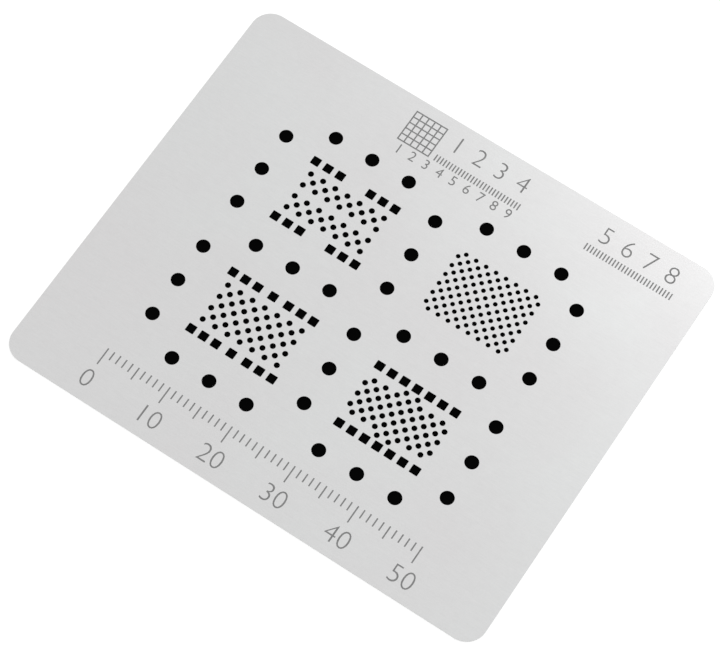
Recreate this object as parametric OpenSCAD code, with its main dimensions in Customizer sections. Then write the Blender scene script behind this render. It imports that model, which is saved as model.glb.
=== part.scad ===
// Solder paste stencil: a flat sheet of steel with the apertures of four memory
// packages, each field in a ring of round vent holes.
// Millimetres, +Z up. The origin is at the centre of the underside, which is the
// side that lies on the package. X runs along the rows of square lands.

/* [Sheet] */
// Length of the sheet, along X
sheet_length = 75; // [60:0.5:100]
// Width of the sheet, along Y
sheet_width = 63; // [50:0.5:90]
// Thickness of the steel
sheet_thickness = 0.25; // [0.1:0.01:0.5]
// Radius of the sheet's corners
corner_radius = 3; // [0.5:0.1:8]

/* [Apertures] */
// Growth of an aperture's radius from the top to the underside, which frees the paste
wall_taper = 0.01; // [0:0.002:0.03]
// Side of a square land aperture
land_side = 1.28; // [0.8:0.01:1.6]
// Corner radius of a square land aperture
land_corner = 0.1; // [0.05:0.01:0.3]
// Distance between neighbouring square lands
land_pitch = 2; // [1.8:0.05:2.4]

/* [Upper left field, 52 lands] */
// Centre of the field along X
ul_x = -11.55; // [-13:0.05:-10]
// Centre of the field along Y
ul_y = 10.3; // [9.5:0.1:11.5]
// Distance between round apertures in a row
ul_pitch = 2; // [1.6:0.05:2.3]
// Diameter of a round aperture
ul_hole = 0.85; // [0.5:0.01:1]
// From the field's centre to the first land on each side
ul_land_start = 2.5; // [1.8:0.1:3.5]
// From the field's centre to each row of lands
ul_land_row = 5; // [4.7:0.05:5.5]

/* [Lower left field, 60 lands] */
// Centre of the field along X
ll_x = -11.55; // [-13:0.05:-10]
// Centre of the field along Y
ll_y = -9.85; // [-11.5:0.05:-9]
// Distance between round apertures in a row
ll_pitch = 2; // [1.6:0.05:2.3]
// Diameter of a round aperture
ll_hole = 0.83; // [0.5:0.01:1]
// From the middle land to the first of three lands on each side
ll_land_start = 2.5; // [1.9:0.1:3.5]
// From the field's centre to each row of lands
ll_land_row = 5; // [4.7:0.05:5.5]

/* [Lower right field, 70 lands] */
// Centre of the field along X
lr_x = 11.9; // [10.5:0.1:13]
// Centre of the field along Y
lr_y = -10.15; // [-11.5:0.05:-9]
// Distance between round apertures in a row
lr_pitch = 1.8; // [1.5:0.05:1.9]
// Diameter of a round aperture
lr_hole = 0.8; // [0.5:0.01:0.9]
// From the middle land to the first of three lands on each side
lr_land_start = 2; // [1.9:0.1:3.5]
// From the field's centre to each row of lands
lr_land_row = 4.9; // [4.7:0.05:5.5]

/* [Upper right field, 110 balls] */
// Centre of the field along X
ur_x = 12.3; // [11:0.1:13]
// Centre of the field along Y
ur_y = 10.2; // [9:0.1:11.5]
// Distance between round apertures in a row
ur_pitch = 1.6; // [1.3:0.05:1.9]
// Diameter of a round aperture
ur_hole = 0.66; // [0.4:0.01:0.8]

/* [Vents] */
// Diameter of a vent hole
vent_hole = 2; // [1:0.1:3]
// Distance between the three vents of a group
vent_pitch = 6; // [4:0.1:6.5]
// Left column of vents
left_vents_x = -23.6; // [-26:0.1:-22]
// Column of vents between the fields
middle_vents_x = 0.5; // [-1:0.1:2]
// Right column of vents
right_vents_x = 23.5; // [22:0.1:26]
// Top row of vents
top_vents_y = 19.8; // [19:0.1:22]
// Row of vents between the fields
middle_vents_y = 0.15; // [-1:0.05:1]
// Bottom row of vents
bottom_vents_y = -19.8; // [-22:0.1:-19]

/* [Vent shifts] */
// Left column: its groups lie this far above the middle of their fields
left_vents_rise = -0.1; // [-1:0.1:1]
// Middle column: its groups lie this far above the middle of the left fields
middle_vents_rise = 0.5; // [-1:0.1:1]
// Right column: its groups lie this far above the middle of their fields
right_vents_rise = 0.2; // [-1:0.1:1]
// Left groups of all rows: they lie this far right of the middle of their fields
left_vents_shift = -0.2; // [-1:0.1:1]
// Right group of the top row: how far right of the middle of its field
top_vents_shift = 0.65; // [-1:0.05:1]
// Right groups of the middle and bottom rows: how far right of the middle of their fields
right_vents_shift = -0.1; // [-1:0.1:1]

/* [Hidden] */
$fn = 48;

// Apertures in each row of a field, from its top row down. Every row is centred
// and the rows are half a pitch apart, so odd and even rows stagger.
ul_rows = [7, 6, 7, 0, 7, 6, 7];
ll_rows = [7, 6, 7, 6, 7, 6, 7];
lr_rows = [2, 7, 8, 7, 8, 7, 8, 7, 2];
ur_rows = [8, 9, 8, 9, 8, 9, 8, 9, 8, 9, 8, 9, 8];

// Lands in each of the groups beside the middle of a land row
lands_in_group = 3;
// Vents on each side of the middle vent of a group
vents_beside = 1;
// How far each cutting tool passes both faces of the sheet
overcut = 0.5;
steel = [0.80, 0.80, 0.80];

// The middle vents of the groups that run along Y, and of those that run along X
groups_along_y = [
    [left_vents_x, ul_y + left_vents_rise],
    [left_vents_x, ll_y + left_vents_rise],
    [middle_vents_x, ul_y + middle_vents_rise],
    [middle_vents_x, ll_y + middle_vents_rise],
    [right_vents_x, ur_y + right_vents_rise],
    [right_vents_x, lr_y + right_vents_rise],
];
groups_along_x = [
    [ul_x + left_vents_shift, top_vents_y],
    [ul_x + left_vents_shift, middle_vents_y],
    [ll_x + left_vents_shift, bottom_vents_y],
    [ur_x + top_vents_shift, top_vents_y],
    [ur_x + right_vents_shift, middle_vents_y],
    [lr_x + right_vents_shift, bottom_vents_y],
];

// Places of a field's round apertures, about the field's centre
function staggered_places(rows, pitch) = [
    for (row = [0 : len(rows) - 1])
        for (i = [0 : 1 : rows[row] - 1])
            [(i - (rows[row] - 1) / 2) * pitch, ((len(rows) - 1) / 2 - row) * pitch / 2]
];

// Places of a field's square lands: on each row a group of three to each side,
// and one in the middle where the package has it
function land_places(start, row_y, middle) = [
    for (y = [-row_y, row_y])
        for (x = concat(
            middle ? [0] : [],
            [for (side = [-1, 1], i = [0 : lands_in_group - 1]) side * (start + i * land_pitch)]
        ))
            [x, y]
];

// How much wider than at the top an aperture's half width is at height z
function taper_at(z) = wall_taper * (1 - z / sheet_thickness);

// Cutting tool of a tapered round aperture, or of a land's corner
module tapered_cutter(radius) {
    low = -overcut;
    high = sheet_thickness + overcut;
    translate([0, 0, low])
        cylinder(h = high - low, r1 = radius + taper_at(low), r2 = radius + taper_at(high));
}

// Cutting tool as wide as the land between its tapered sides, and straight at its ends
module land_bar(ends) {
    low = -overcut;
    high = sheet_thickness + overcut;
    half = land_side / 2;
    rotate([90, 0, 0])
        linear_extrude(height = ends, center = true)
            polygon([
                [-half - taper_at(low), low], [half + taper_at(low), low],
                [half + taper_at(high), high], [-half - taper_at(high), high]
            ]);
}

// Cutting tool of one square land: two crossed bars and its four rounded corners
module land_cutter() {
    corner_centre = land_side / 2 - land_corner;
    for (turn = [0, 90])
        rotate([0, 0, turn])
            land_bar(2 * corner_centre);
    for (x = [-1, 1], y = [-1, 1])
        translate([x * corner_centre, y * corner_centre, 0])
            tapered_cutter(land_corner);
}

module round_apertures(rows, pitch, hole) {
    for (place = staggered_places(rows, pitch))
        translate(place)
            tapered_cutter(hole / 2);
}

module square_lands(start, row_y, middle) {
    for (place = land_places(start, row_y, middle))
        translate(place)
            land_cutter();
}

module upper_left_field() {
    translate([ul_x, ul_y]) {
        round_apertures(ul_rows, ul_pitch, ul_hole);
        square_lands(ul_land_start, ul_land_row, false);
    }
}

module lower_left_field() {
    translate([ll_x, ll_y]) {
        round_apertures(ll_rows, ll_pitch, ll_hole);
        square_lands(ll_land_start, ll_land_row, true);
    }
}

module lower_right_field() {
    translate([lr_x, lr_y]) {
        round_apertures(lr_rows, lr_pitch, lr_hole);
        square_lands(lr_land_start, lr_land_row, true);
    }
}

module upper_right_field() {
    translate([ur_x, ur_y])
        round_apertures(ur_rows, ur_pitch, ur_hole);
}

// A group of three vents in line, one pitch apart
module vent_group(middle, direction) {
    for (i = [-vents_beside : vents_beside])
        translate(concat(middle + i * vent_pitch * direction, [-overcut]))
            cylinder(h = sheet_thickness + 2 * overcut, d = vent_hole);
}

module vents() {
    for (middle = groups_along_y)
        vent_group(middle, [0, 1]);
    for (middle = groups_along_x)
        vent_group(middle, [1, 0]);
}

// Outline of the sheet: a cross of two rectangles with a quarter circle in each corner
module sheet_outline() {
    corner_x = sheet_length / 2 - corner_radius;
    corner_y = sheet_width / 2 - corner_radius;
    square([sheet_length, 2 * corner_y], center = true);
    square([2 * corner_x, sheet_width], center = true);
    for (x = [-corner_x, corner_x], y = [-corner_y, corner_y])
        translate([x, y])
            circle(r = corner_radius);
}

module stencil_sheet() {
    color(steel)
        difference() {
            linear_extrude(height = sheet_thickness)
                sheet_outline();
            upper_left_field();
            lower_left_field();
            lower_right_field();
            upper_right_field();
            vents();
        }
}

stencil_sheet();
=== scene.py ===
"""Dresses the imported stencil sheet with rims, walls, etched marks and steel, and sets it in a studio."""

import math

import bpy
import numpy as np
from mathutils import Matrix, Vector
from mathutils.geometry import delaunay_2d_cdt


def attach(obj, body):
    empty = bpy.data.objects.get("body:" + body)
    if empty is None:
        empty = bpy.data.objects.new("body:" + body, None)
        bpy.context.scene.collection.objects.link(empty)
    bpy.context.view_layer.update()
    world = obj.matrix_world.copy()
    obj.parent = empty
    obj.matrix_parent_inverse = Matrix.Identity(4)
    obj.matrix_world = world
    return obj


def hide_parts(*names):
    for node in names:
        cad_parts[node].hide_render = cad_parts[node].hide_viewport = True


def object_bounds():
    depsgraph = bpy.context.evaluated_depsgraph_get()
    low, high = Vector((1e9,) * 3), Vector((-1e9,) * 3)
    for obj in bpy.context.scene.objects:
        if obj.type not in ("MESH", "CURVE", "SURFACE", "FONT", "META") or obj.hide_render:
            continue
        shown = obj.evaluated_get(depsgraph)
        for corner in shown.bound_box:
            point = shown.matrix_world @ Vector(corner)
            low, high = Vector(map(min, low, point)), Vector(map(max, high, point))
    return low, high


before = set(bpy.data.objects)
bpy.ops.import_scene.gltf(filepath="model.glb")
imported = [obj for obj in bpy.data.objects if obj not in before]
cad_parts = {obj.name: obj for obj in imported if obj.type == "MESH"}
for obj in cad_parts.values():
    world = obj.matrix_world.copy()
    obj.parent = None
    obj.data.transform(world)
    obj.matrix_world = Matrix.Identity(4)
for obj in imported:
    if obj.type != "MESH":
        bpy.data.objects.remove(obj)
CAD_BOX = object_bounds()

bl_info = {
    "name": "Solder Paste Stencil",
    "version": (1, 0, 0),
    "blender": (4, 5, 0),
    "location": "View3D > Sidebar > Stencil",
    "description": "Dresses the packed stencil sheet and sets it in a studio",
    "category": "Object",
}

MM = 0.001
LOW = np.array(CAD_BOX[0])
HIGH = np.array(CAD_BOX[1])
BOTTOM, TOP = LOW[2], HIGH[2]

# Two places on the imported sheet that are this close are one
SAME = 0.001 * MM
# Tolerance of the triangulation, which works in millimetres
JOIN_MM = 1e-6

# The built-in font's numbers at size 1: their height and the width of their strokes
FONT_HEIGHT = 0.69
FONT_STROKE = 0.098
# Points of an outline that are this close, at size 1, are one
FONT_SAME = 0.01
# Edges along each curved part of an outline
FONT_STEPS = 4

# The rule's lines at every so many millimetres, as shares of a large number's height
RULE_LINES = {1: 0.5, 5: 0.75, 10: 1}
# How far the feet of the numbers lie below a head, in heights of those numbers
RULE_NUMBERS_DROP = 2.35
SMALL_NUMBERS_DROP = 1.25
RIGHT_NUMBERS_DROP = 1.1
# A comb's lines are this share of a large number's height, and this many line widths apart
COMB_TOOTH = 0.4
COMB_PITCH = 2.5
# How far the right comb's feet lie below its numbers, in comb lines
RIGHT_COMB_DROP = 1.9
# The room that the grid takes up in the middle block, in sides of the grid
GRID_ROOM = 1.15

# The floor and the card lie this far below the sheet
FLOOR_GAP = 0.02 * MM
CARD_GAP = 0.001 * MM
FLOOR_GREY = 0.5
# The floor's own light, for what the camera sees of it
FLOOR_GLOW = 0.6
# The card under the sheet is painted shade: a near-black card that makes the holes look dark
SHADE_CARD_GREY = 0.002
CARD_CORNER_STEPS = 6

QUARTERS = 4
SQUARE = np.array([[-1, -1], [1, -1], [1, 1], [-1, 1]])

# Finishes, in the order of the sheet's material slots
ROLLED, TRIMMED, BURNT, ETCHED = range(4)


# ---------------------------------------------------------------- sizes and colours


class StencilSheetSettings(bpy.types.PropertyGroup):
    """Sizes of the rims, and how finely round shapes are stepped"""

    rim: bpy.props.FloatProperty(
        name="Rim", description="Radius of the eased rims of the sheet and its holes",
        default=0.012 * MM, unit="LENGTH", precision=6)
    rim_steps: bpy.props.IntProperty(
        name="Rim steps", description="Faces across an eased rim of the sheet or a vent", default=2, min=1)
    corner_steps: bpy.props.IntProperty(
        name="Corner steps", description="Faces round a corner of the sheet", default=24, min=3)
    vent_steps: bpy.props.IntProperty(
        name="Vent steps", description="Faces along a quarter of a vent hole", default=12, min=3)
    aperture_steps: bpy.props.IntProperty(
        name="Aperture steps", description="Faces along a quarter of a round aperture", default=6, min=3)
    land_steps: bpy.props.IntProperty(
        name="Land steps", description="Faces round a corner of a square land", default=4, min=1)


class StencilMarkSettings(bpy.types.PropertyGroup):
    """Sizes and places of the etched rule, grid, combs and plain numbers"""

    depth: bpy.props.FloatProperty(
        name="Depth", description="Depth of the etched marks", default=0.02 * MM, unit="LENGTH", precision=6)
    line: bpy.props.FloatProperty(
        name="Line", description="Width of an etched line", default=0.2 * MM, unit="LENGTH", precision=6)
    stroke: bpy.props.FloatProperty(
        name="Stroke", description="Width of the strokes of a large number",
        default=0.25 * MM, unit="LENGTH", precision=6)
    number: bpy.props.FloatProperty(
        name="Number", description="Height of a large number", default=2.7 * MM, unit="LENGTH")
    small_number: bpy.props.FloatProperty(
        name="Small number", description="Height of a small number", default=1.5 * MM, unit="LENGTH")
    rule_length: bpy.props.FloatProperty(
        name="Rule length", description="Length of the millimetre rule along the front edge",
        default=50 * MM, unit="LENGTH")
    rule_left: bpy.props.FloatProperty(
        name="Rule left", description="From the sheet's left edge to the rule's zero",
        default=12 * MM, unit="LENGTH")
    rule_head: bpy.props.FloatProperty(
        name="Rule head", description="From the sheet's front edge to the head of the rule's lines",
        default=8.1 * MM, unit="LENGTH")
    block_head: bpy.props.FloatProperty(
        name="Block head", description="From the sheet's rear edge to the heads of the two rear blocks",
        default=1.8 * MM, unit="LENGTH")
    middle_left: bpy.props.FloatProperty(
        name="Middle block", description="From the sheet's left edge to the middle block",
        default=26.7 * MM, unit="LENGTH")
    middle_length: bpy.props.FloatProperty(
        name="Middle length", description="Length of the middle block", default=20 * MM, unit="LENGTH")
    right_left: bpy.props.FloatProperty(
        name="Right block", description="From the sheet's left edge to the right block",
        default=56.9 * MM, unit="LENGTH")
    right_length: bpy.props.FloatProperty(
        name="Right length", description="Length of the right block", default=13.9 * MM, unit="LENGTH")
    grid_cells: bpy.props.IntProperty(
        name="Grid cells", description="Millimetre cells along a side of the grid", default=5, min=1)


class StencilFinishSettings(bpy.types.PropertyGroup):
    """Colours and roughness of the steel's four finishes"""

    steel: bpy.props.FloatVectorProperty(
        name="Steel", description="Colour of the rolled faces", subtype="COLOR", default=(0.65, 0.65, 0.65))
    steel_roughness: bpy.props.FloatProperty(
        name="Steel roughness", description="Roughness of the rolled faces",
        subtype="FACTOR", default=0.30, min=0, max=1)
    burnt: bpy.props.FloatVectorProperty(
        name="Burnt wall", description="Colour of the laser-cut walls of the holes", subtype="COLOR",
        default=(0.035, 0.032, 0.030))
    etched: bpy.props.FloatVectorProperty(
        name="Etched", description="Colour of the etched marks", subtype="COLOR", default=(0.25, 0.25, 0.25))


class StencilStageSettings(bpy.types.PropertyGroup):
    """Camera, floor, the near-black card of painted shade under the sheet, and lamps"""

    lens: bpy.props.FloatProperty(
        name="Lens", description="Focal length, for a sensor 36 mm wide",
        subtype="DISTANCE_CAMERA", default=145.8)
    distance: bpy.props.FloatProperty(
        name="Distance", description="From the camera to its aim", default=391.7 * MM, unit="LENGTH")
    turn: bpy.props.FloatProperty(
        name="Turn", description="How far round the camera stands from the front edge", subtype="ANGLE",
        default=math.radians(29.8))
    elevation: bpy.props.FloatProperty(
        name="Elevation", description="How high the camera stands", subtype="ANGLE",
        default=math.radians(66.93))
    roll: bpy.props.FloatProperty(
        name="Roll", description="How far the camera leans over to its left", subtype="ANGLE",
        default=math.radians(3.9))
    aim: bpy.props.FloatVectorProperty(
        name="Aim", description="The place on the sheet that the camera looks at", subtype="TRANSLATION",
        default=(0.91 * MM, -2.46 * MM, 0))
    floor_size: bpy.props.FloatProperty(
        name="Floor size", description="Side of the square floor", default=3, unit="LENGTH")
    # The card is painted shade: a near-black card under the steel that makes the holes look dark
    card_inset: bpy.props.FloatProperty(
        name="Card inset", description="How far the dark backing card stays inside the sheet's edge",
        default=1.5 * MM, unit="LENGTH")
    world_level: bpy.props.FloatProperty(
        name="World level", description="Strength of the even light from all round", default=0.9, min=0)
    softbox_place: bpy.props.FloatVectorProperty(
        name="Softbox place", description="Middle of the softbox over the sheet's rear right corner",
        subtype="TRANSLATION", default=(135 * MM, 436 * MM, 450 * MM))
    softbox_size: bpy.props.FloatVectorProperty(
        name="Softbox size", description="Width and depth of the softbox", size=2, unit="LENGTH",
        default=(400 * MM, 284 * MM))
    softbox_power: bpy.props.FloatProperty(
        name="Softbox power", description="Power of the softbox, in watts", default=1.0, min=0)


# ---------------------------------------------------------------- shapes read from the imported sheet


def joined_mesh(node):
    """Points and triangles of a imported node, with its loose triangles joined where their corners meet.

    Corners that round to the same micrometre are one point.
    """
    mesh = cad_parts[node].data
    mesh.calc_loop_triangles()
    places = np.empty(len(mesh.vertices) * 3, np.float32)
    mesh.vertices.foreach_get("co", places)
    corners = np.empty(len(mesh.loop_triangles) * 3, np.int32)
    mesh.loop_triangles.foreach_get("vertices", corners)
    places = places.reshape(-1, 3).astype(float)
    keys = np.round(places / SAME).astype(np.int64)
    _, first, joined = np.unique(keys, axis=0, return_index=True, return_inverse=True)
    return places[first], joined.ravel()[corners].reshape(-1, 3)


def rims_at(points, triangles, height):
    """The closed rims of the flat face at a height, each an (n, 2) array of points.

    An edge that only one triangle of the face has is on a rim. Each rim point
    then takes the lowest number among the points ahead of it, over a reach that
    doubles every time, until all the points of a rim share one number.
    """
    level = np.abs(points[:, 2] - height) < SAME
    flat = triangles[level[triangles].all(axis=1)]
    edges = np.concatenate([flat[:, [0, 1]], flat[:, [1, 2]], flat[:, [2, 0]]])
    count = len(points)
    there = edges[:, 0] * count + edges[:, 1]
    back = edges[:, 1] * count + edges[:, 0]
    rim = edges[~np.isin(there, back)]
    number = np.arange(count)
    ahead = np.arange(count)
    ahead[rim[:, 0]] = rim[:, 1]
    for _ in range(math.ceil(math.log2(count))):
        number = np.minimum(number, number[ahead])
        ahead = ahead[ahead]
    numbers = number[rim[:, 0]]
    return [points[rim[numbers == n, 0], :2] for n in np.unique(numbers)]


def fitted(rim):
    """Middle, half sizes and corner radius of a rim, as five numbers.

    A rim whose points all lie on the circle fitted to them by least squares is
    that circle. Any other is a rounded rectangle: its far side ends where its
    corners start, so the corner radius is what is left of the half size there.
    """
    start = rim.mean(axis=0)
    local = rim - start
    rows = np.column_stack([2 * local, np.ones(len(local))])
    (x, y, rest), *_ = np.linalg.lstsq(rows, (local ** 2).sum(axis=1), rcond=None)
    radius = math.sqrt(rest + x * x + y * y)
    if np.abs(np.hypot(*(local - (x, y)).T) - radius).max() < SAME:
        return np.array([start[0] + x, start[1] + y, radius, radius, radius])
    low, high = rim.min(axis=0), rim.max(axis=0)
    middle, half = (low + high) / 2, (high - low) / 2
    side = rim[np.abs(rim[:, 1] - high[1]) < SAME, 0]
    return np.array([*middle, *half, half[0] - np.abs(side - middle[0]).max()])


def shapes_at(points, triangles, height):
    """The fitted rims at a height as rows, in order of their middles, with the sheet's outline last"""
    shapes = np.array([fitted(rim) for rim in rims_at(points, triangles, height)])
    places = np.round(shapes[:, :2] / SAME)
    is_outline = shapes[:, 2] == shapes[:, 2].max()
    return shapes[np.lexsort((places[:, 0], places[:, 1], is_outline))]


# ---------------------------------------------------------------- rims, walls and flat faces


def ring(half, corner, steps):
    """Points and outward normals of a rounded rectangle about the origin, anticlockwise.

    At angle a the normal is (cos a, sin a) and a corner's point is the corner's
    centre plus radius times the normal. Where the four centres meet, the shape is
    a circle, and each quarter leaves its last point to the next.
    """
    inset = np.maximum(np.asarray(half) - corner, 0)
    sweep = np.linspace(0, math.pi / 2, steps + 1)
    if inset.max() < SAME:
        sweep = sweep[:-1]
    start = np.arange(QUARTERS) * math.pi / 2
    angle = (start[:, None] + sweep).ravel()
    centres = np.repeat(np.roll(SQUARE, 2, axis=0) * inset, len(sweep), axis=0)
    normals = np.column_stack([np.cos(angle), np.sin(angle)])
    return centres + corner * normals, normals


def wall_profile(rim, rim_steps, growth):
    """Rows of (shift, height) down a wall: round the upper rim, down the wall and round the lower rim.

    A rim is a quarter circle: at angle b it shifts by rim * (1 - sin b) and drops
    by rim * (1 - cos b). The lower one stands out further by the wall's growth.
    """
    bend = np.linspace(0, math.pi / 2, rim_steps + 1)
    shift, drop = rim * (1 - np.sin(bend)), rim * (1 - np.cos(bend))
    upper = np.column_stack([shift, TOP - drop])
    lower = np.column_stack([growth + shift, BOTTOM + drop])
    return np.concatenate([upper, lower[::-1]])


def carried(points, normals, profile):
    """A profile carried round a ring: the ring, moved along its normals by each shift, at each height"""
    flat = points[None] + profile[:, None, :1] * normals[None]
    height = np.broadcast_to(profile[:, None, 1:], (*flat.shape[:2], 1))
    return np.concatenate([flat, height], axis=2)


def strip_faces(rows, count):
    """Quads between neighbouring rows of a closed strip, one row of quads for each gap between rows.

    With the rows going down and their points anticlockwise, the quads face the middle.
    """
    across = np.arange(count)
    ahead = (across + 1) % count
    start = np.arange(rows - 1)[:, None] * count
    return np.stack([start + across, start + ahead, start + count + ahead, start + count + across], axis=2)


def triangulated(loops):
    """Triangles that fill the plane round and between loops, with every edge of the loops kept.

    They index the loops' points, taken one loop after the other.
    """
    points = np.concatenate(loops) / MM
    sizes = np.array([len(loop) for loop in loops])
    ends = np.cumsum(sizes)
    ahead = np.arange(len(points)) + 1
    ahead[ends - 1] = ends - sizes
    edges = np.column_stack([np.arange(len(points)), ahead])
    filled = delaunay_2d_cdt(points.tolist(), edges.tolist(), [], 0, JOIN_MM)
    triangles, origins = filled[2], filled[3]
    if len(origins) != len(points):
        raise RuntimeError("two loops on the sheet touch or cross")
    names = np.array([origin[0] for origin in origins])
    return names[np.array(triangles)]


def inside(places, loops):
    """Which places lie inside an odd number of loops.

    A ray from a place along +X crosses a loop round it an odd number of times,
    so the crossings of all the loops are counted together.
    """
    start = np.concatenate(loops)
    end = np.concatenate([np.roll(loop, -1, axis=0) for loop in loops])
    slanted = start[:, 1] != end[:, 1]
    start, end = start[slanted], end[slanted]
    x, y = places[:, :1], places[:, 1:]
    spans = (start[:, 1] > y) != (end[:, 1] > y)
    slope = (end[:, 0] - start[:, 0]) / (end[:, 1] - start[:, 1])
    crossing = start[:, 0] + (y - start[:, 1]) * slope
    return (spans & (x < crossing)).sum(axis=1) % 2 == 1


# ---------------------------------------------------------------- etched marks


def rectangle(left, foot, width, height):
    """A rectangle as an anticlockwise loop"""
    return (SQUARE + 1) / 2 * (width, height) + (left, foot)


def comb(left, foot, length, height, line, pitch):
    """Upright lines at one pitch, as many as fit in a length"""
    count = math.floor((length - line) / pitch) + 1
    return [rectangle(left + i * pitch, foot, line, height) for i in range(count)]


def grid(left, foot, cells, line):
    """A square grid of millimetre cells: its outline, with each cell's inside left standing"""
    side = cells * MM + line
    loops = [rectangle(left, foot, side, side)]
    for column in range(cells):
        for row in range(cells):
            cell = rectangle(left + column * MM + line, foot + row * MM + line, MM - line, MM - line)
            loops.append(cell[::-1])
    return loops


def drawn_in(loop, amount):
    """A loop with every point moved to its left, so that each edge moves by the amount.

    The point between edges with left normals m and n moves by amount * (m + n) / (1 + m . n).
    """
    step = np.roll(loop, -1, axis=0) - loop
    after = np.column_stack([-step[:, 1], step[:, 0]]) / np.hypot(*step.T)[:, None]
    before = np.roll(after, 1, axis=0)
    return loop + amount * (before + after) / (1 + (before * after).sum(axis=1, keepdims=True))


def turn_of(loop):
    """Twice the area in a loop, positive where it runs anticlockwise"""
    ahead = np.roll(loop, -1, axis=0)
    return (loop[:, 0] * ahead[:, 1] - loop[:, 1] * ahead[:, 0]).sum()


def number_outlines(number):
    """Outlines of a plain number at size 1, centred across, with the inside of the strokes on their left.

    The outlines come one after the other, and each is closed by the one edge
    that joins its last point to its first.
    """
    curve = bpy.data.curves.new("number", "FONT")
    curve.body = str(number)
    curve.align_x = "CENTER"
    curve.fill_mode = "NONE"
    curve.resolution_u = FONT_STEPS
    drawn = bpy.data.objects.new("number", curve)
    bpy.context.scene.collection.objects.link(drawn)
    mesh = bpy.data.meshes.new_from_object(drawn.evaluated_get(bpy.context.evaluated_depsgraph_get()))
    places = np.empty(len(mesh.vertices) * 3, np.float32)
    mesh.vertices.foreach_get("co", places)
    edges = np.empty(len(mesh.edges) * 2, np.int32)
    mesh.edges.foreach_get("vertices", edges)
    bpy.data.objects.remove(drawn)
    bpy.data.curves.remove(curve)
    bpy.data.meshes.remove(mesh)
    edges = edges.reshape(-1, 2)
    closing = np.abs(edges[:, 0] - edges[:, 1]) > 1
    lasts = np.sort(edges[closing].max(axis=1))
    loops = np.split(places.reshape(-1, 3)[:, :2].astype(float), lasts[:-1] + 1)
    loops = [loop[np.hypot(*(np.roll(loop, -1, axis=0) - loop).T) > FONT_SAME] for loop in loops]
    if max(map(turn_of, loops), key=abs) < 0:
        loops = [loop[::-1] for loop in loops]
    return loops


def number_loops(number, middle, foot, height, stroke):
    """A plain number of a height and a stroke, centred on middle and standing on foot"""
    size = height / FONT_HEIGHT
    spare = max(FONT_STROKE * size - stroke, 0)
    return [drawn_in(loop * size, spare / 2) + (middle, foot) for loop in number_outlines(number)]


def number_row(numbers, left, foot, length, height, stroke):
    """Plain numbers spread evenly over a length"""
    pitch = length / len(numbers)
    loops = []
    for i, number in enumerate(numbers):
        loops += number_loops(number, left + (i + 0.5) * pitch, foot, height, stroke)
    return loops


def rule_loops(marks):
    """The rule along the front edge: a line for each millimetre, longer at 5 and 10, numbered at each 10"""
    zero = LOW[0] + marks.rule_left
    head = LOW[1] + marks.rule_head
    foot = head - RULE_NUMBERS_DROP * marks.number
    loops = []
    for step in range(round(marks.rule_length / MM) + 1):
        place = zero + step * MM
        length = marks.number * max(share for every, share in RULE_LINES.items() if step % every == 0)
        loops.append(rectangle(place - marks.line / 2, head - length, marks.line, length))
        if step % 10 == 0:
            loops += number_loops(step, place, foot, marks.number, marks.stroke)
    return loops


def block_loops(marks):
    """The two blocks along the rear edge: a grid, large numbers over fine combs, and small numbers"""
    head = HIGH[1] - marks.block_head
    left = LOW[0] + marks.middle_left
    side = marks.grid_cells * MM + marks.line
    tooth, pitch = COMB_TOOTH * marks.number, COMB_PITCH * marks.line
    loops = grid(left, head - side, marks.grid_cells, marks.line)
    beside, rest = left + GRID_ROOM * side, marks.middle_length - GRID_ROOM * side
    loops += number_row(range(1, 5), beside, head - marks.number, rest, marks.number, marks.stroke)
    loops += comb(beside, head - side, rest, tooth, marks.line, pitch)
    below = head - side - SMALL_NUMBERS_DROP * marks.small_number
    loops += number_row(range(1, 10), left, below, marks.middle_length, marks.small_number, marks.line)
    left = LOW[0] + marks.right_left
    foot = head - RIGHT_NUMBERS_DROP * marks.number
    loops += number_row(range(5, 9), left, foot, marks.right_length, marks.number, marks.stroke)
    loops += comb(left, foot - RIGHT_COMB_DROP * tooth, marks.right_length, tooth, marks.line, pitch)
    return loops


# ---------------------------------------------------------------- the sheet's mesh


class Patchwork:
    """Points and faces of one mesh, gathered a patch at a time"""

    def __init__(self):
        self.points = []
        self.faces = []
        self.finishes = []
        self.smooth = []
        self.count = 0

    def add_points(self, points):
        """Adds points and gives the number of the first"""
        first = self.count
        self.points.append(points)
        self.count += len(points)
        return first

    def add_faces(self, faces, finish, smooth=False):
        """Adds faces, given as rows of point numbers, with one finish"""
        self.faces.append(faces)
        self.finishes.append(np.full(len(faces), finish))
        self.smooth.append(np.full(len(faces), smooth))

    def mesh(self, name):
        """The mesh of all the patches"""
        corners = np.concatenate([faces.ravel() for faces in self.faces])
        sizes = np.concatenate([np.full(len(faces), faces.shape[1]) for faces in self.faces])
        starts = np.cumsum(sizes) - sizes
        mesh = bpy.data.meshes.new(name)
        mesh.vertices.add(self.count)
        mesh.vertices.foreach_set("co", np.concatenate(self.points).astype(np.float32).ravel())
        mesh.loops.add(len(corners))
        mesh.loops.foreach_set("vertex_index", corners.astype(np.int32))
        mesh.polygons.add(len(starts))
        mesh.polygons.foreach_set("loop_start", starts.astype(np.int32))
        mesh.polygons.foreach_set("material_index", np.concatenate(self.finishes).astype(np.int32))
        mesh.polygons.foreach_set("use_smooth", np.concatenate(self.smooth))
        mesh.update(calc_edges=True)
        if mesh.validate():
            raise RuntimeError(name + " has a broken face")
        return mesh


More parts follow.
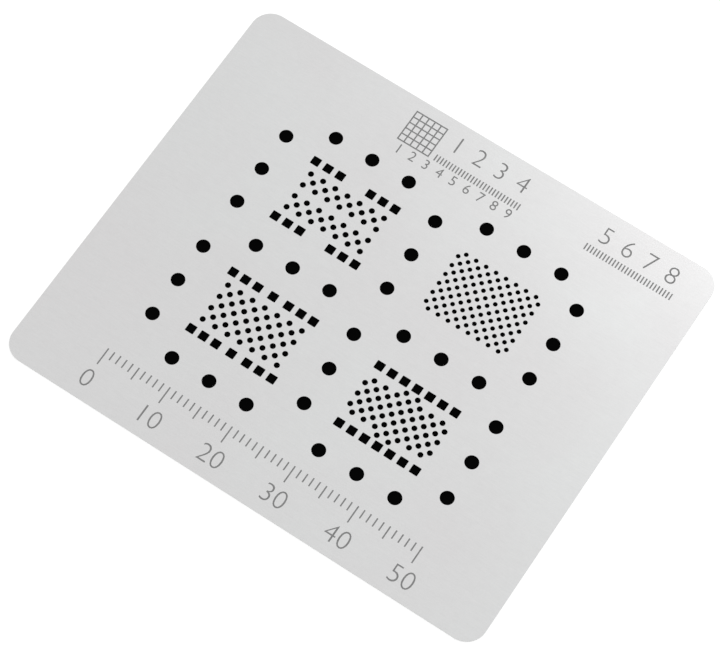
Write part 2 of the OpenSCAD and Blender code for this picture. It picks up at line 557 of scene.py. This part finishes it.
def add_wall(patch, shape, growth, steps, rim, rim_steps, finish):
    """Adds the rims and the wall of one hole, or of the outline where the rim is negative.

    Gives its upper and lower loops, each with the number of its first point.
    """
    points, normals = ring(shape[2:4], shape[4], steps)
    profile = wall_profile(abs(rim), rim_steps, growth)
    outline = rim < 0
    if outline:
        profile[:, 0] *= -1
    rows = carried(points + shape[:2], normals, profile)
    first = patch.add_points(rows.reshape(-1, 3))
    faces = first + strip_faces(len(profile), len(points))
    if outline:
        faces = faces[..., ::-1]
    covers = [ROLLED] * rim_steps + [finish] + [ROLLED] * rim_steps
    for band, cover in zip(faces, covers):
        patch.add_faces(band, cover, smooth=True)
    last = first + (len(profile) - 1) * len(points)
    return (rows[0, :, :2], first), (rows[-1, :, :2], last)


def add_walls(patch, sheet):
    """Adds the outline's wall and every hole's. Gives their upper and lower loops, the outline's first"""
    points, triangles = joined_mesh("stencil_sheet")
    upper = shapes_at(points, triangles, TOP)[::-1]
    lower = shapes_at(points, triangles, BOTTOM)[::-1]
    if len(upper) != len(lower):
        raise RuntimeError("the two faces of the sheet have different holes")
    loops = []
    for shape, growth in zip(upper, lower[:, 2] - upper[:, 2]):
        is_round = abs(shape[2] - shape[4]) < SAME
        if not loops:
            wall = (sheet.corner_steps, -sheet.rim, sheet.rim_steps, TRIMMED)
        elif is_round and growth < SAME:
            wall = (sheet.vent_steps, sheet.rim, sheet.rim_steps, BURNT)
        else:
            steps = sheet.aperture_steps if is_round else sheet.land_steps
            wall = (steps, sheet.rim, 1, BURNT)
        loops.append(add_wall(patch, shape, growth, *wall))
    return zip(*loops)


def numbered(loops):
    """Point numbers and loop numbers of all the points of loops given with their first point's number"""
    names = np.concatenate([first + np.arange(len(loop)) for loop, first in loops])
    owners = np.repeat(np.arange(len(loops)), [len(loop) for loop, _ in loops])
    return names, owners


def filled_plane(loops, holes):
    """Triangles round and between loops, without those in a hole. The outline comes first, then the holes.

    Every hole bulges outwards all round, so a triangle lies in it when all three corners are on its rim.
    """
    _, owners = numbered([(loop, 0) for loop in loops])
    faces = triangulated(loops)
    owner = owners[faces]
    one = (owner == owner[:, :1]).all(axis=1)
    is_hole = (owner[:, 0] > 0) & (owner[:, 0] <= holes)
    return faces[~(one & is_hole)]


def add_underside(patch, rims):
    """Fills the flat underside, facing down"""
    names, _ = numbered(rims)
    faces = filled_plane([loop for loop, _ in rims], len(rims) - 1)
    patch.add_faces(names[faces][:, ::-1], ROLLED)


def add_upper_face(patch, rims, marks, floor):
    """Fills the upper face and sinks the marks to their floor, with a wall down every outline"""
    loops = [loop for loop, _ in rims] + marks
    heads = [(loop, patch.add_points(np.column_stack([loop, np.full(len(loop), TOP)]))) for loop in marks]
    feet = [(loop, patch.add_points(np.column_stack([loop, np.full(len(loop), floor)]))) for loop in marks]
    names, owners = numbered(rims + heads)
    sunk, _ = numbered(rims + feet)
    faces = filled_plane(loops, len(rims) - 1)
    etched = (owners[faces] >= len(rims)).all(axis=1)
    middles = np.concatenate(loops)[faces[etched]].mean(axis=1)
    etched[etched] = inside(middles, marks)
    patch.add_faces(names[faces[~etched]], ROLLED)
    patch.add_faces(sunk[faces[etched]], ETCHED)
    for (loop, head), (_, foot) in zip(heads, feet):
        across = np.arange(len(loop))
        ahead = (across + 1) % len(loop)
        patch.add_faces(np.column_stack([head + across, head + ahead, foot + ahead, foot + across]), ETCHED)


def sheet_mesh(sheet, marks, depth):
    """The dressed sheet: walls with eased rims, flat faces between them, and marks sunk to a depth"""
    patch = Patchwork()
    upper, lower = add_walls(patch, sheet)
    add_underside(patch, list(lower))
    add_upper_face(patch, list(upper), marks, TOP - depth)
    return patch.mesh("stencil_sheet_steel")


# ---------------------------------------------------------------- node helpers and shared effects


def add_node(tree, kind, inputs=None, **properties):
    """Adds a node with some of its properties and inputs set"""
    made = tree.nodes.new(kind)
    for name, value in properties.items():
        setattr(made, name, value)
    for name, value in (inputs or {}).items():
        made.inputs[name].default_value = value
    return made


def new_group(name, inputs, output):
    """An empty node group with float inputs, given by name and default, and one float output"""
    tree = bpy.data.node_groups.new(name, "ShaderNodeTree")
    for label, value in inputs.items():
        tree.interface.new_socket(label, in_out="INPUT", socket_type="NodeSocketFloat").default_value = value
    tree.interface.new_socket(output, in_out="OUTPUT", socket_type="NodeSocketFloat")
    return tree, tree.nodes.new("NodeGroupInput").outputs, tree.nodes.new("NodeGroupOutput").inputs


def grain_group():
    """Grain of worked steel: a noise drawn out along one way, blended with one that has no direction.

    Scale is the number of grains per metre, X, Y and Z draw the grain out along
    that axis where they are under 1, and Even is the share without direction.
    """
    inputs = {"Scale": 5000, "X": 1, "Y": 1, "Z": 1, "Even": 0.5}
    tree, given, result = new_group("steel_grain", inputs, "Shade")
    place = add_node(tree, "ShaderNodeTexCoord").outputs["Object"]
    stretch = add_node(tree, "ShaderNodeCombineXYZ")
    for axis in "XYZ":
        tree.links.new(given[axis], stretch.inputs[axis])
    drawn = add_node(tree, "ShaderNodeVectorMath", operation="MULTIPLY")
    tree.links.new(place, drawn.inputs[0])
    tree.links.new(stretch.outputs["Vector"], drawn.inputs[1])
    lines = add_node(tree, "ShaderNodeTexNoise", {"Detail": 3, "Roughness": 0.6})
    specks = add_node(tree, "ShaderNodeTexNoise", {"Detail": 2, "Roughness": 0.7})
    tree.links.new(drawn.outputs["Vector"], lines.inputs["Vector"])
    tree.links.new(place, specks.inputs["Vector"])
    for noise in (lines, specks):
        tree.links.new(given["Scale"], noise.inputs["Scale"])
    blend = add_node(tree, "ShaderNodeMapRange")
    tree.links.new(given["Even"], blend.inputs["Value"])
    tree.links.new(lines.outputs["Fac"], blend.inputs["To Min"])
    tree.links.new(specks.outputs["Fac"], blend.inputs["To Max"])
    tree.links.new(blend.outputs["Result"], result["Shade"])
    return tree


def patches_group():
    """Soft patches, as handling, wiping or soot leaves them: a slow noise eased between two levels.

    Scale is the number of patches per metre, and the mask is 0 below Low and 1 above High.
    """
    tree, given, result = new_group("soft_patches", {"Scale": 60, "Low": 0.3, "High": 0.7}, "Mask")
    place = add_node(tree, "ShaderNodeTexCoord").outputs["Object"]
    noise = add_node(tree, "ShaderNodeTexNoise", {"Detail": 4, "Roughness": 0.55, "Distortion": 0.4})
    tree.links.new(place, noise.inputs["Vector"])
    tree.links.new(given["Scale"], noise.inputs["Scale"])
    ease = add_node(tree, "ShaderNodeMapRange", interpolation_type="SMOOTHSTEP")
    tree.links.new(noise.outputs["Fac"], ease.inputs["Value"])
    tree.links.new(given["Low"], ease.inputs["From Min"])
    tree.links.new(given["High"], ease.inputs["From Max"])
    tree.links.new(ease.outputs["Result"], result["Mask"])
    return tree


def place_group(tree, group, output, **values):
    """Places a group in a material with its own values, and gives its output"""
    return add_node(tree, "ShaderNodeGroup", values, node_tree=group).outputs[output]


def mapped(tree, source, low, high):
    """A value from 0 to 1, mapped to between two levels"""
    made = add_node(tree, "ShaderNodeMapRange", {"To Min": low, "To Max": high})
    tree.links.new(source, made.inputs["Value"])
    return made.outputs["Result"]


def coloured(tree, source, low, high):
    """A value from 0 to 1, turned into a colour between two colours"""
    made = add_node(tree, "ShaderNodeValToRGB")
    for stop, colour in zip(made.color_ramp.elements, (low, high)):
        stop.color = (*colour, 1)
    tree.links.new(source, made.inputs["Fac"])
    return made.outputs["Color"]


def shaded(tree, source, colour, spread):
    """A colour that a value from 0 to 1 takes from darker to lighter, by a share of itself either way"""
    return coloured(tree, source, [c * (1 - spread) for c in colour], [c * (1 + spread) for c in colour])


def times(tree, first, second):
    """Two colours multiplied"""
    made = add_node(tree, "ShaderNodeVectorMath", operation="MULTIPLY")
    tree.links.new(first, made.inputs[0])
    tree.links.new(second, made.inputs[1])
    return made.outputs["Vector"]


def new_material(name, metallic):
    """A material, its tree and the inputs of its Principled shader"""
    made = bpy.data.materials.new(name)
    made.use_nodes = True
    inputs = made.node_tree.nodes["Principled BSDF"].inputs
    inputs["Metallic"].default_value = metallic
    return made, made.node_tree, inputs


def finish_with(tree, inputs, colour, roughness, height, relief):
    """Joins a colour, a roughness and a bump of a relief in metres to a shader"""
    bump = add_node(tree, "ShaderNodeBump", {"Strength": 1, "Distance": relief})
    tree.links.new(height, bump.inputs["Height"])
    tree.links.new(bump.outputs["Normal"], inputs["Normal"])
    tree.links.new(colour, inputs["Base Color"])
    tree.links.new(roughness, inputs["Roughness"])


# ---------------------------------------------------------------- the steel's finishes


def rolled_steel(finish, grain, patches):
    """Rolled stainless steel: satin, with fine grain along X, a soft mottle and faint warm and cool patches"""
    made, tree, inputs = new_material("rolled_steel", 1)
    fine = place_group(tree, grain, "Shade", Scale=5200, X=0.1, Y=1, Z=1, Even=0.5)
    mottle = place_group(tree, patches, "Mask", Scale=900, Low=0.25, High=0.75)
    handled = place_group(tree, patches, "Mask", Scale=40, Low=0.3, High=0.7)
    steel = shaded(tree, fine, finish.steel, spread=0.08)
    clouds = coloured(tree, mottle, (0.985, 0.985, 0.985), (1, 1, 1))
    tints = coloured(tree, handled, (1, 0.991, 0.994), (0.992, 1, 0.998))
    colour = times(tree, times(tree, steel, clouds), tints)
    roughness = mapped(tree, handled, finish.steel_roughness - 0.02, finish.steel_roughness + 0.02)
    finish_with(tree, inputs, colour, roughness, fine, relief=0.0004 * MM)
    return made


def trimmed_steel(finish, grain, patches):
    """The sheet's own edge: bright, with fine upright lines from trimming"""
    made, tree, inputs = new_material("trimmed_steel", 1)
    lines = place_group(tree, grain, "Shade", Scale=16000, X=1, Y=1, Z=0.05, Even=0.2)
    dull = place_group(tree, patches, "Mask", Scale=500, Low=0.3, High=0.7)
    colour = shaded(tree, lines, finish.steel, spread=0.2)
    roughness = mapped(tree, dull, finish.steel_roughness, finish.steel_roughness + 0.15)
    finish_with(tree, inputs, colour, roughness, lines, relief=0.002 * MM)
    return made


def burnt_wall(finish, grain, patches):
    """The wall that a laser leaves in a hole: dark oxide with upright stripes and patches of soot"""
    made, tree, inputs = new_material("burnt_wall", 0.6)
    stripes = place_group(tree, grain, "Shade", Scale=18000, X=1, Y=1, Z=0.06, Even=0.2)
    soot = place_group(tree, patches, "Mask", Scale=2500, Low=0.35, High=0.65)
    striped = shaded(tree, stripes, finish.burnt, spread=0.6)
    colour = times(tree, striped, shaded(tree, soot, (0.8, 0.8, 0.8), spread=0.25))
    finish_with(tree, inputs, colour, mapped(tree, soot, 0.75, 0.5), stripes, relief=0.004 * MM)
    return made


def etched_steel(finish, grain, patches):
    """The frosted grey floor of an etched mark"""
    made, tree, inputs = new_material("etched_steel", 0.5)
    frost = place_group(tree, grain, "Shade", Scale=14000, X=1, Y=1, Z=1, Even=1)
    uneven = place_group(tree, patches, "Mask", Scale=1200, Low=0.3, High=0.7)
    frosted = shaded(tree, frost, finish.etched, spread=0.3)
    colour = times(tree, frosted, shaded(tree, uneven, (0.92, 0.92, 0.92), spread=0.08))
    finish_with(tree, inputs, colour, mapped(tree, frost, 0.55, 0.85), frost, relief=0.002 * MM)
    return made


# ---------------------------------------------------------------- stage


def add_object(name, data):
    """An object in the scene"""
    made = bpy.data.objects.new(name, data)
    bpy.context.scene.collection.objects.link(made)
    return made


def add_flat(name, outline, height, material):
    """A flat piece of the stage, given by its outline and height"""
    mesh = bpy.data.meshes.new(name)
    points = np.column_stack([outline, np.full(len(outline), height)])
    mesh.from_pydata(points.tolist(), [], [list(range(len(outline)))])
    mesh.materials.append(material)
    add_object(name, mesh)


def seen_or_mirrored(tree):
    """1 for what the camera sees, directly or in a gloss or a glass, and 0 for the rest"""
    path = add_node(tree, "ShaderNodeLightPath").outputs
    either = path["Is Camera Ray"]
    for other in ("Is Glossy Ray", "Is Transmission Ray"):
        most = add_node(tree, "ShaderNodeMath", operation="MAXIMUM")
        tree.links.new(either, most.inputs[0])
        tree.links.new(path[other], most.inputs[1])
        either = most.outputs["Value"]
    return either


def matt_material(name, grey):
    """A material with no gloss"""
    made, tree, inputs = new_material(name, 0)
    inputs["Base Color"].default_value = (grey, grey, grey, 1)
    inputs["Roughness"].default_value = 1
    inputs["Specular IOR Level"].default_value = 0
    return made, tree, inputs


def add_floor(stage):
    """The pale floor, and the near-black card that lies on it under the sheet and shows through the holes:
    painted shade that makes the holes dark.

    The floor shows white where it is open to the light, and keeps the sheet's shadow.
    """
    pale, tree, inputs = matt_material("pale_floor", FLOOR_GREY)
    inputs["Emission Color"].default_value = (1, 1, 1, 1)
    tree.links.new(mapped(tree, seen_or_mirrored(tree), 0, FLOOR_GLOW), inputs["Emission Strength"])
    add_flat("floor", SQUARE * stage.floor_size / 2, BOTTOM - FLOOR_GAP, pale)
    # Painted shade: a near-black card under the steel, so that the holes look dark
    shade_card_material, _, _ = matt_material("painted_shade_card", SHADE_CARD_GREY)
    outline, _ = ring(HIGH[:2] - stage.card_inset, stage.card_inset, CARD_CORNER_STEPS)
    add_flat("painted_shade_card", outline, BOTTOM - CARD_GAP, shade_card_material)


def add_softbox(stage):
    """The softbox that brightens the steel towards its rear right corner"""
    lamp = bpy.data.lights.new("softbox", "AREA")
    lamp.shape = "RECTANGLE"
    lamp.size, lamp.size_y = stage.softbox_size
    lamp.energy = stage.softbox_power
    add_object("softbox", lamp).location = stage.softbox_place


def add_world(stage):
    """Even white light from all round, seen as plain white"""
    world = bpy.data.worlds.new("studio")
    world.use_nodes = True
    tree = world.node_tree
    light = tree.nodes["Background"].inputs
    light["Color"].default_value = (1, 1, 1, 1)
    tree.links.new(mapped(tree, seen_or_mirrored(tree), stage.world_level, 1), light["Strength"])
    bpy.context.scene.world = world


def add_camera(stage):
    """The camera, looking down on the sheet from its front right"""
    lens = bpy.data.cameras.new("camera")
    lens.lens = stage.lens
    camera = add_object("camera", lens)
    flat = math.cos(stage.elevation)
    away = Vector((flat * math.sin(stage.turn), -flat * math.cos(stage.turn), math.sin(stage.elevation)))
    place = Vector(stage.aim) + stage.distance * away
    aimed = (-away).to_track_quat("-Z", "Y").to_matrix().to_4x4()
    camera.matrix_world = Matrix.Translation(place) @ aimed @ Matrix.Rotation(stage.roll, 4, "Z")
    bpy.context.scene.camera = camera


# ---------------------------------------------------------------- operators and panel


class STENCIL_OT_stage(bpy.types.Operator):
    """Make the camera, the floor with its near-black card of painted shade, the softbox and the world"""

    bl_idname = "stencil.stage"
    bl_label = "Stage"

    def execute(self, context):
        stage = context.scene.stencil_stage
        add_camera(stage)
        add_floor(stage)
        add_softbox(stage)
        add_world(stage)
        context.scene.view_settings.view_transform = "Standard"
        return {"FINISHED"}


class STENCIL_OT_sheet(bpy.types.Operator):
    """Make the dressed sheet, with its rims, walls, etched marks and finishes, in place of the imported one"""

    bl_idname = "stencil.sheet"
    bl_label = "Stencil sheet"

    def execute(self, context):
        scene = context.scene
        marks = scene.stencil_marks
        mesh = sheet_mesh(scene.stencil_sheet, rule_loops(marks) + block_loops(marks), marks.depth)
        grain, patches = grain_group(), patches_group()
        for finish in FINISHES:
            mesh.materials.append(finish(scene.stencil_finish, grain, patches))
        sheet = add_object("stencil_sheet_steel", mesh)
        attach(sheet, "root")
        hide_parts("stencil_sheet")
        return {"FINISHED"}


class STENCIL_PT_panel(bpy.types.Panel):
    """The stencil's operators, and its sizes and colours"""

    bl_label = "Solder Paste Stencil"
    bl_idname = "STENCIL_PT_panel"
    bl_space_type = "VIEW_3D"
    bl_region_type = "UI"
    bl_category = "Stencil"

    def draw(self, context):
        for operator in OPERATORS:
            self.layout.operator(operator.bl_idname)
        for name, group in SETTINGS.items():
            box = self.layout.box()
            box.label(text=name.replace("_", " ").capitalize())
            for field in group.__annotations__:
                box.prop(getattr(context.scene, name), field)


FINISHES = (rolled_steel, trimmed_steel, burnt_wall, etched_steel)
SETTINGS = {
    "stencil_sheet": StencilSheetSettings,
    "stencil_marks": StencilMarkSettings,
    "stencil_finish": StencilFinishSettings,
    "stencil_stage": StencilStageSettings,
}
OPERATORS = (STENCIL_OT_stage, STENCIL_OT_sheet)


def register():
    """Registers the settings, the operators and the panel"""
    for name, group in SETTINGS.items():
        bpy.utils.register_class(group)
        setattr(bpy.types.Scene, name, bpy.props.PointerProperty(type=group))
    for shown in (*OPERATORS, STENCIL_PT_panel):
        bpy.utils.register_class(shown)


def unregister():
    """Takes back what register did"""
    for shown in (STENCIL_PT_panel, *reversed(OPERATORS)):
        bpy.utils.unregister_class(shown)
    for name, group in reversed(SETTINGS.items()):
        delattr(bpy.types.Scene, name)
        bpy.utils.unregister_class(group)


def main():
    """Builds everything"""
    register()
    bpy.ops.stencil.stage()
    bpy.ops.stencil.sheet()


if __name__ == "__main__":
    main()
